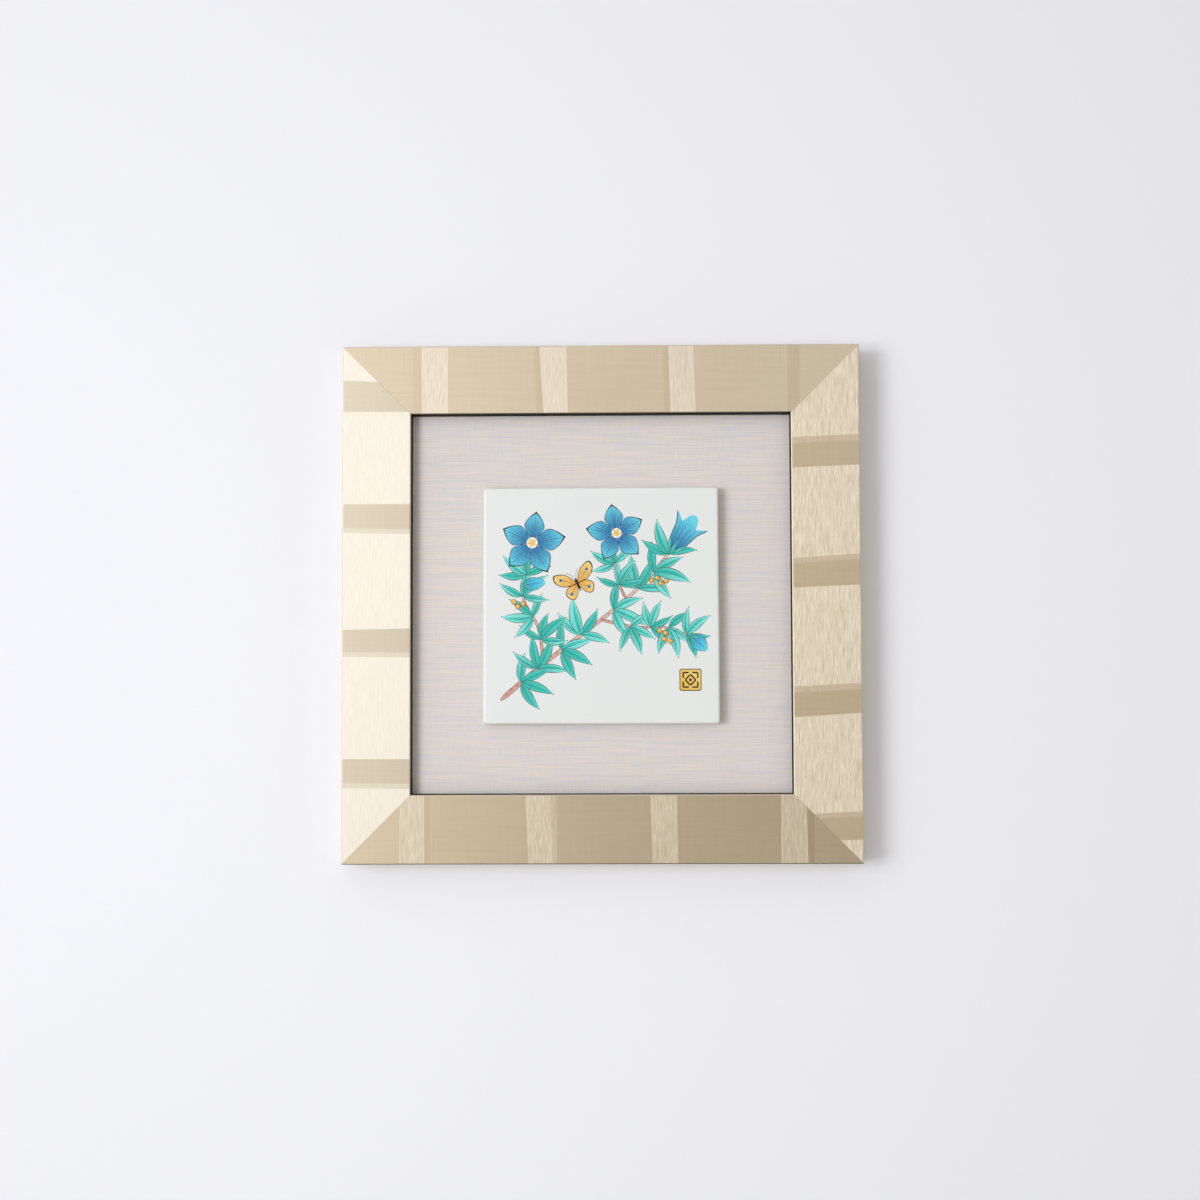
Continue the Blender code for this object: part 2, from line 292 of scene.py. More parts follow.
def dark_and_light(colour, spread):
    """A colour made darker and browner by this share, and made lighter and paler by it."""
    shares = [spread * share for share in (0.9, 1.05, 1.3)]
    dark = [channel * (1 - share) for channel, share in zip(colour, shares)]
    light = [channel * (1 + share) for channel, share in zip(colour, shares)]
    return dark + [1.0], light + [1.0]


def strongest(masks):
    total = masks[0]
    for mask in masks[1:]:
        total = total.most(mask)
    return total


def band_masks(rail, along, reach, fray):
    """Lists of masks: bands brushed the other way, strips pressed darker, and light lines at the bands."""
    lies_level = rail in LEVEL_RAILS
    crossed = []
    pressed = []
    edges = []
    for outer_start, inner_start, outer_end, inner_end, share in BANDS[rail]:
        start = reach * (inner_start - outer_start) + outer_start
        end = reach * (inner_end - outer_end) + outer_end
        inside = (along - start).rises(-EDGE_SOFTNESS, EDGE_SOFTNESS)
        inside = inside * (end - along - fray).rises(-EDGE_SOFTNESS, EDGE_SOFTNESS)
        if share > 0:
            crossed.append(inside * share)
        else:
            pressed.append(inside * -share)
        if lies_level and share == 1.0:
            edges += [start + BEAD_INSET, end - BEAD_INSET]
        elif not lies_level and share < 1.0:
            edges.append(start if rail == "left" else end)
    beads = [1 - abs(along - edge).rises(*BEAD_WIDTHS) for edge in edges]
    return crossed, pressed, beads


def side_masks(look):
    """Where a foil-covered face looks to the front, and where its edge turns down and is painted dark as
    shade.
    """
    normal = look.node("ShaderNodeTexCoord", {}, {}).outputs["Normal"]
    parts = look.node("ShaderNodeSeparateXYZ", {}, {0: normal}).outputs
    front = (Number(look, parts["Y"]) * -1).rises(0.85, 0.99)
    down = Number(look, parts["Z"]) * -1
    return front, down.rises(0.05, 0.3) * down.rises(1.0, 0.93)


def foil(rail):
    """Champagne foil over wood. Upright brushing catches the side light, level brushing doesn't.
    The rail's colours and their paling along it are partly painted light.
    """
    look = new_look("foil_" + rail)
    x, y, z = look.place()
    lies_level = rail in LEVEL_RAILS
    along, aside = (x, z) if lies_level else (z, x)
    sign = 1 if rail in ("top", "right") else -1
    reach = (HALF_SIDE - aside * sign) / FACE
    end_share = along / HALF_SIDE
    # The rail's colours and their paling are partly painted light: lighter on the left rail, darker on the
    # bottom.
    upright_tone, level_tone, grain, upright_painted_falloff, level_painted_falloff = FOIL_TONES_WITH_PAINTED_LIGHT[rail]

    fine = look.mottle(x / 0.4, y / 0.4, z / 9, 2.0, 0.6)
    coarse = look.mottle(x / 0.75, y / 0.75, z / 24, 3.0, 0.6)
    upright_lines = fine * 0.6 + coarse * 0.4
    long_lines = look.mottle(x / 0.8, y / 0.8, z / 70)
    level_lines = look.mottle(x / 34, y / 0.5, z / 0.5) * 0.5 + look.mottle(x / 60, y / 1.4, z / 1.4) * 0.5
    drift = look.mottle(x / 90, y / 90, z / 90)

    fray = (upright_lines - 0.5) * (LEVEL_FRAY if lies_level else UPRIGHT_FRAY)
    crossed, pressed, beads = band_masks(rail, along, reach, fray)
    bead = strongest(beads)
    crossed = strongest(crossed)
    upright = crossed if lies_level else (1 - crossed).most(bead * 0.8)

    # Painted light: the upright colour pales along the rail.
    upright_grain_and_painted_falloff = (upright_lines - 0.5) * (3.6 * grain) + end_share * (upright_painted_falloff / 0.4) + 0.5
    upright_colour = look.blend(upright_grain_and_painted_falloff, *dark_and_light(upright_tone, 0.2))
    upright_colour = look.blend(bead * 0.6, upright_colour, dark_and_light(upright_tone, 0.16)[1])
    level_share = (level_lines - 0.5) * 1.6 + (long_lines - 0.5) * 1.0 + (drift - 0.5) * 0.5 + 0.5
    # Painted light: the level colour pales along the rail.
    level_grain_and_painted_falloff = level_share * 0.3 + end_share * (level_painted_falloff / 0.4) + 0.35
    level_colour = look.blend(level_grain_and_painted_falloff, *dark_and_light(level_tone, 0.2))
    if pressed:
        streaks = strongest(pressed) * (long_lines * 1.6)
        level_colour = look.blend(streaks, level_colour, dark_and_light(level_tone, 0.16)[0])
    front, painted_down_shade = side_masks(look)
    side_colour = look.blend(level_share, *dark_and_light(SIDE_FOIL, 0.08))
    # The edges that turn down are painted dark brown as shade.
    side_colour = look.blend(painted_down_shade, side_colour, dark_and_light(DOWN_EDGE_PAINTED_SHADE, 0.08)[0])

    upright_foil = look.surface(
        base_color=upright_colour,
        metallic=0.85,
        roughness=upright_lines * 0.2 + 0.42,
        anisotropic=0.6,
        coat_weight=0.3,
        coat_roughness=0.25,
        normal=look.relief(upright_lines, 0.00002 * grain + 0.00001, 0.5),
    )
    level_foil = look.surface(
        base_color=level_colour,
        metallic=0.85,
        roughness=level_lines * 0.1 + 0.36,
        anisotropic=0.75,
        anisotropic_rotation=0.25,
        coat_weight=0.3,
        coat_roughness=0.25,
        normal=look.relief(level_lines, 0.00001, 0.5),
    )
    side_foil = look.surface(
        base_color=side_colour,
        metallic=0.6,
        roughness=long_lines * 0.1 + 0.45,
        normal=look.relief(level_lines, 0.00001, 0.5),
    )
    face_foil = look.node("ShaderNodeMixShader", {}, {0: upright, 1: level_foil, 2: upright_foil}).outputs[0]
    shader = look.node("ShaderNodeMixShader", {}, {0: front, 1: side_foil, 2: face_foil}).outputs[0]
    return look.finish(shader)


def black_edge():
    """The stained inner edge of the rails."""
    look = new_look("black_stain")
    x, y, z = look.place()
    pores = look.mottle(x / 0.8, y / 0.8, z / 0.8, 4.0, 0.6)
    colour = look.blend(pores, tint(3, 2, 2), tint(20, 14, 11))
    surface = look.surface(
        base_color=colour,
        roughness=pores * 0.25 + 0.5,
        specular_ior_level=0.1,
        normal=look.relief(pores, 0.00003),
    )
    return look.finish(surface)


def bare_wood(rail):
    """The pale softwood of a rail, its grain along it."""
    look = new_look("bare_wood_" + rail)
    x, y, z = look.place()
    level = rail in LEVEL_RAILS
    stretched = (x / 60, y / 2.2, z / 2.2) if level else (x / 2.2, y / 2.2, z / 60)
    rings = look.mottle(*stretched, 3.0, 0.55, 0.6)
    fibre = (x / 9, y / 0.25, z / 0.25) if level else (x / 0.25, y / 0.25, z / 9)
    fibres = look.mottle(*fibre, 3.0, 0.6)
    ramp = [(0.3, tint(196, 158, 112)), (0.5, tint(222, 191, 147)), (0.7, tint(233, 207, 166))]
    wood = look.node("ShaderNodeValToRGB", {"stops": ramp}, {0: rings}).outputs[0]
    colour = look.blend(fibres.rises(0.45, 0.75) * 0.35, wood, tint(168, 128, 86))
    relief = look.relief(fibres, 0.00008)
    return look.finish(look.surface(base_color=colour, roughness=fibres * 0.25 + 0.6, normal=relief))


def dress_rail(rail):
    """The rail's own solid, with its mitres drawn together and a finish on each of its sides."""
    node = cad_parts["rail_" + rail]
    mesh = node.data.copy()
    mesh.name = "foil_rail_" + rail
    mesh.materials.clear()
    for material in (foil(rail), LOOKS["black_edge"], bare_wood(rail)):
        mesh.materials.append(material)
    unturn = Matrix.Rotation(-math.radians(RAIL_TURNS[rail]), 4, "Y") @ Matrix.Translation(-CENTRE)
    place = unturn.inverted()
    bm = bmesh.new()
    bm.from_mesh(mesh)
    bmesh.ops.remove_doubles(bm, verts=bm.verts, dist=TOLERANCE / 5)
    bmesh.ops.transform(bm, matrix=unturn, verts=bm.verts)
    for vert in bm.verts:
        opening = vert.co.z - abs(vert.co.x)
        if abs(opening - MITRE_GAP / math.sqrt(2)) < TOLERANCE * 2:
            vert.co.x = math.copysign(vert.co.z - MITRE_SHOWN / 2, vert.co.x)
    bm.normal_update()
    normals = []
    for face in bm.faces:
        face.smooth = True
        face.material_index = rail_side(face)
        normals += [edge_normal(face, loop.vert) for loop in face.loops]
    bmesh.ops.transform(bm, matrix=place, verts=bm.verts)
    bm.to_mesh(mesh)
    bm.free()
    mesh.normals_split_custom_set([place.to_3x3() @ normal for normal in normals])
    piece = collection_object("foil_rail_" + rail, mesh)
    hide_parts("rail_" + rail)
    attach(piece, "root")


def edge_normal(face, vert):
    """Rounds the shading over the rail's two front edges and keeps every other face flat."""
    depth = vert.co.y + FRAME_DEPTH
    inward = FRAME_SIDE / 2 - vert.co.z
    slanted = 0.05 < abs(face.normal.y) < 0.99 and abs(face.normal.x) < 0.01
    if not slanted or depth > FRONT_EDGE_DEPTH:
        return face.normal.copy()
    outer = inward < FACE_WIDTH / 2
    centre = OUTER_EDGE_RADIUS if outer else FACE_WIDTH - INNER_EDGE_RADIUS
    radius = OUTER_EDGE_RADIUS if outer else INNER_EDGE_RADIUS
    return Vector((0, depth - radius, centre - inward)).normalized()


FOIL_SIDE, BLACK_SIDE, WOOD_SIDE = range(3)


def rail_side(face):
    """Which finish a face of the top rail has."""
    middle = face.calc_center_median()
    depth = middle.y + FRAME_DEPTH
    inward = FRAME_SIDE / 2 - middle.z
    is_end = abs(face.normal.x) > 0.5
    on_front = face.normal.y < -0.1 and depth < FRONT_EDGE_DEPTH and inward < FACE_WIDTH + TOLERANCE
    on_outside = face.normal.z > 0.5 and inward < FRONT_EDGE_DEPTH
    if (on_front or on_outside) and not is_end:
        return FOIL_SIDE
    on_lip = inward > FACE_WIDTH - TOLERANCE and depth < LIP_DEPTH - TOLERANCE and not is_end
    return BLACK_SIDE if on_lip else WOOD_SIDE


# Painting

INK = tint(58, 40, 34)
LEAF_LINE = tint(98, 92, 70)
LEAF_DEEP = tint(40, 190, 176)
LEAF_MID = tint(92, 214, 204)
LEAF_PALE = tint(150, 236, 230)
LEAF_VEIN = tint(26, 120, 112)
STEM_ROSE = tint(214, 164, 146)
STEM_PALE = tint(234, 206, 196)
STEM_BROWN = tint(150, 92, 66)
BLUE_DEEP = tint(14, 108, 168)
BLUE_MID = tint(30, 158, 204)
BLUE_PALE = tint(110, 220, 236)
YELLOW_PALE = tint(246, 216, 134)
YELLOW_DEEP = tint(226, 168, 66)
GILT = tint(236, 186, 70)
GILT_PALE = tint(252, 222, 132)
WHITE_DOT = tint(246, 248, 246)
# The degrees between the leaves of a fan, and how far from the middle a leaf's tip may lie.
FAN_STEP = 40
LEAF_LIMIT = 69


class Painting:
    """Flat shapes of colour in the order in which they are painted, in millimetres on the plaque's front."""

    def __init__(self):
        self.shapes = []
        self.hand = random.Random(SEED)

    def shape(self, outline, colour, far_colour=None, start=None, end=None, gilt=0.0):
        """A closed shape in one colour, or in a colour that changes from start to end."""
        area = sum(a.cross(b) for a, b in zip(outline, outline[1:] + outline[:1]))
        points = outline if area > 0 else outline[::-1]
        self.shapes.append((points, colour, far_colour or colour, start, end, gilt))

    def stroke(self, path, widths, colour, far_colour=None):
        """A brush stroke along a path, with half its width at each point."""
        self.shape(stroke_outline(path, widths), colour, far_colour, path[0], path[-1])

    def line(self, path, width, colour):
        """A thin line that swells a little and ends in points."""
        count = len(path) - 1
        widths = [width / 2 * (0.35 + 0.65 * math.sin(math.pi * i / count)) for i in range(count + 1)]
        self.stroke(path, widths, colour)

    def dot(self, centre, radius, colour, sides=8):
        turns = [math.tau * i / sides for i in range(sides)]
        self.shape([centre + radius * Vector((math.cos(t), math.sin(t))) for t in turns], colour)


def stroke_outline(path, widths):
    left = []
    right = []
    last = len(path) - 1
    for i, (point, width) in enumerate(zip(path, widths)):
        ahead = path[min(i + 1, last)] - path[max(i - 1, 0)]
        side = Vector((-ahead.y, ahead.x)).normalized() * width
        left.append(point + side)
        if width > 1e-4:
            right.append(point - side)
    return left + right[::-1]


def curve(points, steps=6):
    """A smooth path through the points."""
    knots = [Vector(p) for p in points]
    knots = [2 * knots[0] - knots[1]] + knots + [2 * knots[-1] - knots[-2]]
    path = []
    for a, b, c, d in zip(knots, knots[1:], knots[2:], knots[3:]):
        for i in range(steps):
            t = i / steps
            path.append(0.5 * (2 * b + (c - a) * t + (2 * a - 5 * b + 4 * c - d) * t**2
                               + (3 * b - a - 3 * c + d) * t**3))
    return path + [knots[-2]]


def bow(base, tip, bend, steps=12):
    """A path from base to tip that bows to its left by bend times its length."""
    across = tip - base
    middle = (base + tip) / 2 + Vector((-across.y, across.x)) * bend
    return [
        base * (1 - t) ** 2 + middle * 2 * t * (1 - t) + tip * t**2
        for t in (i / steps for i in range(steps + 1))
    ]


def leaf(painting, base, tip, width, bend):
    """A lance-shaped leaf: outline, fill, a deeper half, a vein and its dark tip."""
    spine = bow(base, tip, bend)
    count = len(spine) - 1
    shares = [i / count for i in range(count + 1)]
    swell = [math.sin(math.pi * t**0.82) ** 0.9 if 0 < t < 1 else 0.0 for t in shares]
    line = [width / 2 * s + 0.24 * math.sin(math.pi * t) ** 0.5 for s, t in zip(swell, shares)]
    fill = [width / 2 * s * 0.93 for s in swell]
    painting.stroke(spine, line, LEAF_LINE)
    tones = [(LEAF_DEEP, LEAF_MID), (LEAF_MID, LEAF_PALE), (LEAF_DEEP, LEAF_PALE)]
    near, far = painting.hand.choice(tones)
    painting.stroke(spine, fill, near, far)
    side = painting.hand.choice((-1, 1))
    edge = []
    for i in range(1, count):
        ahead = spine[i + 1] - spine[i - 1]
        edge.append(spine[i] + Vector((-ahead.y, ahead.x)).normalized() * fill[i] * 0.62 * side)
    painting.shape(spine[1:-1] + edge[::-1], LEAF_DEEP, near, spine[0], spine[-1])
    vein = spine[: int(count * 0.85)]
    painting.stroke(vein, [0.24 - 0.18 * i / len(vein) for i in range(len(vein))], LEAF_VEIN)
    painting.dot(tip, 0.42, INK, 6)


def leaf_fan(painting, base, way, reach, count):
    """Leaves that spread from one point of a stem, the middle ones longest."""
    turns = sorted((i - (count - 1) / 2 for i in range(count)), key=abs, reverse=True)
    for turn in turns:
        angle = math.radians(turn * FAN_STEP + painting.hand.uniform(-6, 6))
        length = reach * (1 - 0.13 * abs(turn)) * painting.hand.uniform(0.93, 1.07)
        tip = base + Matrix.Rotation(angle, 2) @ way * length
        tip = Vector([max(-LEAF_LIMIT, min(LEAF_LIMIT, value)) for value in tip])
        bend = painting.hand.uniform(0.06, 0.14) * (-1 if turn < 0 else 1)
        leaf(painting, base, tip, length * painting.hand.uniform(0.25, 0.3), bend)


def stem(painting, points, start_width, end_width):
    """A stem in rose and brown, with darker marks at its knots."""
    path = curve(points)
    count = len(path) - 1
    widths = [start_width + (end_width - start_width) * i / count for i in range(count + 1)]
    widths[0] *= 0.3
    painting.stroke(path, [w / 2 + 0.26 for w in widths], INK)
    painting.stroke(path, [w / 2 for w in widths], STEM_ROSE, STEM_PALE)
    for i in range(1, count):
        ahead = (path[i + 1] - path[i]).normalized()
        side = Vector((-ahead.y, ahead.x)) * widths[i] * painting.hand.uniform(-0.32, 0.32)
        start = path[i] + side
        middle = start + ahead * painting.hand.uniform(0.8, 1.6)
        painting.stroke([start, middle, middle + ahead], [0.05, 0.1 * widths[i] + 0.06, 0.05], STEM_BROWN)
    return path


def petal(painting, centre, angle, length, spread):
    """One pointed lobe of an open bellflower, with its veins."""
    shoulder = 0.45

    def at(turn, radius):
        return centre + length * radius * Vector((math.cos(angle + turn), math.sin(angle + turn)))

    def sides(grow):
        outward = [at(-spread, 0.02), at(-spread, shoulder), at(-spread * 0.86, shoulder + 0.2)]
        outward += [at(-spread * 0.42, 0.83), at(0, 1 + grow)]
        back = [at(0, 1 + grow), at(spread * 0.42, 0.83), at(spread * 0.86, shoulder + 0.2)]
        back += [at(spread, shoulder), at(spread, 0.02)]
        return curve(outward, 4) + curve(back, 4)[1:]

    painting.shape(sides(0.03), INK)
    inner = [centre + (point - centre) * 0.955 + (at(0, 0.5) - centre) * 0.02 for point in sides(0.0)]
    painting.shape(inner, BLUE_DEEP, BLUE_PALE, at(0, 0.1), at(0, 1.0))
    for turn, far in ((-0.5, 0.62), (-0.22, 0.8), (0.22, 0.8), (0.5, 0.62)):
        vein = [at(turn * spread * 0.5, 0.25), at(turn * spread * 0.9, far * 0.7), at(turn * spread, far)]
        painting.line(vein, 0.3, BLUE_DEEP)
    painting.line([at(0, 0.2), at(0, 0.6), at(0, 0.93)], 0.4, INK)


def open_flower(painting, centre, radius, turn):
    """A five-lobed bellflower seen from the front."""
    for i in range(5):
        angle = math.radians(turn + 72 * i)
        petal(painting, centre, angle, radius * painting.hand.uniform(0.93, 1.04), math.radians(35.5))
    painting.dot(centre, radius * 0.17, WHITE_DOT, 12)
    painting.dot(centre, radius * 0.12, YELLOW_PALE, 10)
    for i in range(5):
        angle = math.radians(turn + 36 + 72 * i)
        out = Vector((math.cos(angle), math.sin(angle)))
        painting.line([centre, centre + out * radius * 0.14, centre + out * radius * 0.27], 0.5, YELLOW_DEEP)
        painting.dot(centre + out * radius * 0.29, 0.5, INK, 6)


def side_flower(painting, base, tip, width):
    """A bellflower seen from the side, with three lobes at its mouth."""
    forward = tip - base
    length = forward.length
    forward = forward / length
    side = Vector((-forward.y, forward.x))

    def at(out, across):
        return base + forward * out * length + side * across * width / 2

    def bell(grow):
        edge = [(0.0, 0.2), (0.16, 0.5), (0.42, 0.66), (0.68, 0.78), (0.98, 1.12)]
        mouth = [(0.80, 0.52), (1.06, 0.3), (1.14, 0.0), (1.06, -0.3), (0.80, -0.52)]
        left = [at(out - grow * 0.02, across * (1 + grow)) for out, across in edge]
        lips = [at(out + grow * 0.03, across) for out, across in mouth]
        right = [at(out - grow * 0.02, -across * (1 + grow)) for out, across in edge[::-1]]
        return curve(left, 4) + curve(lips, 3) + curve(right, 4)

    painting.shape(bell(0.06), INK)
    painting.shape(bell(-0.01), BLUE_DEEP, BLUE_PALE, base, tip)
    for across in (-0.42, -0.15, 0.15, 0.42):
        painting.line([at(0.12, across * 0.7), at(0.5, across), at(0.82, across * 1.4)], 0.35, BLUE_DEEP)
    for across in (-0.7, 0.0, 0.7):
        sepal = bow(at(-0.06, across * 0.3), at(0.3, across * 0.9), 0.05 * across, 6)
        painting.stroke(sepal, [0.3, 0.9, 1.15, 1.05, 0.8, 0.45, 0.1], LEAF_LINE)
        painting.stroke(sepal, [0.1, 0.6, 0.85, 0.75, 0.5, 0.2, 0.05], LEAF_MID, LEAF_DEEP)


def bud(painting, base, tip, width):
    spine = bow(base, tip, 0.04, 10)
    swell = [math.sin(math.pi * min(max(i / 10, 0.04), 0.98) ** 0.9) ** 0.75 for i in range(11)]
    painting.stroke(spine, [width / 2 * s + 0.3 for s in swell], INK)
    painting.stroke(spine, [width / 2 * s for s in swell], BLUE_MID, BLUE_PALE)
    painting.line(spine[1:-1], 0.4, BLUE_DEEP)
    aside = (spine[4] - spine[3]).orthogonal().normalized()
    for across in (-1, 1):
        tip_of_sepal = base + (spine[4] - base) * 1.05 + aside * across * width * 0.3
        sepal = bow(base, tip_of_sepal, 0.1 * across, 6)
        painting.stroke(sepal, [0.3, 0.8, 0.95, 0.8, 0.6, 0.35, 0.1], LEAF_LINE)
        painting.stroke(sepal, [0.1, 0.5, 0.65, 0.55, 0.35, 0.15, 0.05], LEAF_DEEP, LEAF_MID)


def butterfly(painting, centre, size, turn):
    """A small yellow butterfly, its wings open."""
    spin = Matrix.Rotation(math.radians(turn), 2)

    def at(x, y):
        return centre + spin @ Vector((x, y)) * size

    hind_wing = ((0.05, 0.0), (0.5, -0.02), (0.72, -0.32), (0.5, -0.66), (0.2, -0.5), (0.05, -0.15))
    fore_wing = ((0.05, 0.12), (0.42, 0.62), (0.92, 0.78), (0.98, 0.42), (0.62, 0.08), (0.05, 0.02))
    for side in (-1, 1):
        for outline in (hind_wing, fore_wing):
            wing = [at(side * x, y) for x, y in outline]
            path = curve(wing + wing[:1], 5)[:-1]
            middle = sum(path, Vector((0, 0))) / len(path)
            painting.shape([middle + (p - middle) * 1.06 for p in path], INK)
            fill = [middle + (p - middle) * 0.94 for p in path]
            painting.shape(fill, YELLOW_DEEP, YELLOW_PALE, centre, middle * 2 - centre)
            for share in (0.35, 0.62):
                rim = path[int(len(path) * share)]
                vein = [centre * 0.8 + middle * 0.2, middle, middle * 0.25 + rim * 0.75]
                painting.line(vein, 0.28, STEM_BROWN)
            painting.dot(middle + (middle - centre) * 0.35, size * 0.085, BLUE_MID)
            painting.dot(middle + (middle - centre) * 0.35, size * 0.04, INK, 6)
        feeler = [at(side * 0.03, 0.22), at(side * 0.14, 0.5), at(side * 0.3, 0.66)]
        painting.line(curve(feeler, 4), 0.3, INK)
        painting.dot(at(side * 0.3, 0.66), 0.3, INK, 6)
    body = [at(0, y) for y in (0.28, 0.18, 0.05, -0.1, -0.28, -0.42)]
    painting.stroke(body, [w * size for w in (0.03, 0.06, 0.075, 0.06, 0.045, 0.01)], INK)


def gilt_square(painting, centre, side):
    """A small gilt square with a plain figure of lines."""
    def square(half, corner):
        outline = []
        for i, (x, y) in enumerate(((1, 1), (-1, 1), (-1, -1), (1, -1))):
            for j in range(4):
                angle = math.radians(90 * i + 30 * j)
                middle = centre + Vector((x, y)) * (half - corner)
                outline.append(middle + corner * Vector((math.cos(angle), math.sin(angle))))
        return outline

    half = side / 2
    diagonal = Vector((half, half))
    painting.shape(square(half, 1.4), INK)
    gilding = square(half - 0.55, 1.0)
    painting.shape(gilding, GILT, GILT_PALE, centre - diagonal, centre + diagonal, gilt=1.0)
    for turn in range(4):
        spin = Matrix.Rotation(math.radians(90 * turn), 2)
        arm = [Vector((0.0, 0.24)), Vector((0.24, 0.0))]
        painting.stroke([centre + spin @ p * side for p in arm], [0.5, 0.5], INK)
        bracket = [Vector((-0.33, 0.08)), Vector((-0.33, 0.33)), Vector((-0.08, 0.33))]
        for leg in (bracket[:2], bracket[1:]):
            painting.stroke([centre + spin @ p * side for p in leg], [0.5, 0.5], INK)
    painting.dot(centre, 1.2, INK, 4)


def berries(painting, base, way, count):
    """A short row of golden berries on a thin stalk."""
    side = Vector((-way.y, way.x))
    painting.line([base, base + way * count * 1.6, base + way * count * 3.2], 0.6, STEM_BROWN)
    for i in range(count):
        centre = base + way * (2.4 + 3.0 * i) + side * (1.3 if i % 2 else -1.3)
        painting.dot(centre, 1.75, INK, 12)
        painting.dot(centre, 1.5, YELLOW_DEEP, 12)
        painting.dot(centre + Vector((-0.4, 0.4)), 0.75, YELLOW_PALE, 8)


def paint_spray():
    """Bellflowers, leaves and berries on four stems, a butterfly above and a gilt square in the corner."""
    painting = Painting()
    main = stem(painting, [(-64, -60), (-44, -43), (-21, -25), (4, -6), (27, 14), (46, 36)], 2.8, 1.2)
    left = stem(painting, [main[8], (-40, -14), (-50, 6), (-46, 26)], 1.6, 0.9)
    right = stem(painting, [main[17], (22, -14), (40, -14), (57, -20)], 1.5, 0.9)
    upper = stem(painting, [main[21], (10, 18), (9, 36)], 1.4, 0.8)
    sprays = (
        (main, (4, 7, 11, 14, 19, 23, 26, 29), 23, 3),
        (left, (4, 8, 12, 16), 20, 3),
        (right, (5, 9, 13, 17), 19, 3),
        (upper, (4, 9), 18, 3),
    )
    for path, knots, reach, leaves in sprays:
        for count, knot in enumerate(knots):
            ahead = (path[min(knot + 1, len(path) - 1)] - path[knot - 1]).normalized()
            side = 1 if count % 2 else -1
            way = Matrix.Rotation(math.radians(62 * side), 2) @ ahead
            leaf_fan(painting, path[knot], way, reach, leaves)
            back = Matrix.Rotation(math.radians(-48 * side), 2) @ ahead
            leaf_fan(painting, path[knot], back, reach * 0.8, 1)
    berries(painting, right[11], Vector((0.5, -0.87)), 4)
    berries(painting, main[25], Vector((0.95, -0.3)), 4)
    berries(painting, left[10], Vector((-0.98, 0.2)), 3)
    open_flower(painting, Vector((-44, 40)), 21, 82)
    open_flower(painting, Vector((10, 46)), 19, 100)
    side_flower(painting, main[-1], main[-1] + Vector((13, 18)), 20)
    bud(painting, right[-1], right[-1] + Vector((10, -9)), 9)
    bud(painting, left[14], left[14] + Vector((14, 2)), 8)
    butterfly(painting, Vector((-15, 14)), 13, 24)
    gilt_square(painting, Vector((56.5, -47.5)), 14)
    return painting


# Plaque

def rounded_loop(inset):
    """The plaque's outline this far in from its widest, in millimetres about its centre, anticlockwise."""
    half = PLAQUE_SIDE / 2
    radius = PLAQUE_CORNER - inset
    middle = half - PLAQUE_CORNER
    loop = []
    for i, (x, y) in enumerate(((1, 1), (-1, 1), (-1, -1), (1, -1))):
        for j in range(CORNER_POINTS):
            angle = math.radians(90 * i + 90 * j / (CORNER_POINTS - 1))
            way = Vector((math.cos(angle), math.sin(angle)))
            loop.append(Vector((x, y)) * middle + radius * way)
        start = loop[-1]
        way = Matrix.Rotation(math.radians(90 * i), 2) @ Vector((-1, 0))
        for j in range(1, SIDE_POINTS):
            loop.append(start + way * 2 * middle * j / SIDE_POINTS)
    return loop


def hand_made(point):
    """Narrows the plaque towards its top, and bows its sides by tenths of a millimetre."""
    x = point.x * (1 - PLAQUE_NARROWING / PLAQUE_SIDE * (point.y / PLAQUE_SIDE + 0.5))
    wave = noise.noise_vector(Vector((point.x / 60, point.y / 60, 0.3)))
    return Vector((x + wave.x * PLAQUE_SWELL, point.y + wave.y * PLAQUE_SWELL))


def colour_at(shape, point):
    near, far, start, end = shape[1:5]
    if start is None:
        return near
    way = end - start
    share = min(max((point - start).dot(way) / way.length_squared, 0), 1)
    return [a + (b - a) * share for a, b in zip(near, far)]


